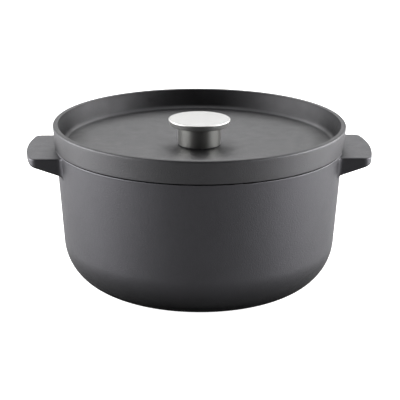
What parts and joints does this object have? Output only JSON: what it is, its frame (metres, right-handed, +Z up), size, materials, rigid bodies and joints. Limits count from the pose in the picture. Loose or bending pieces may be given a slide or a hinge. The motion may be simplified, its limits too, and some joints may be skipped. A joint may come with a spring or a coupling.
{
  "type": "cast iron dutch oven",
  "caption": "Round cast iron cooking pot with flat side handles cast on, and a dished lid with a raised rim and a mushroom-shaped steel knob.",
  "frame": {"origin": "centre of the pot's underside, on the surface the pot stands on", "axes": "+Z up along the pot's axis, X across the two side handles, +Y to the back"},
  "size_m": [0.3188, 0.27, 0.1564],
  "materials": {
    "pot_iron": "matte black cast finish",
    "lid_iron": "matte black cast finish",
    "knob_top_steel": "satin",
    "knob_stem_steel": "brushed",
    "knob_core_steel": "machined",
    "gasket_rubber": "matte",
    "fastener_steel": "plain"
  },
  "bodies": {
    "pot": {"pot": "pot_iron"},
    "lid": {"lid": "lid_iron", "knob_cap": "knob_top_steel", "knob_stem": "knob_stem_steel", "knob_core": "knob_core_steel", "knob_gasket": "gasket_rubber", "knob_screw": "fastener_steel", "flat_washer": "fastener_steel", "lock_washer": "fastener_steel"}
  },
  "joints": [
    {"name": "lid_lift", "type": "slide", "parent": "pot", "child": "lid", "axis": [0, 0, 1], "range_m": [0, 0.12]}
  ]
}
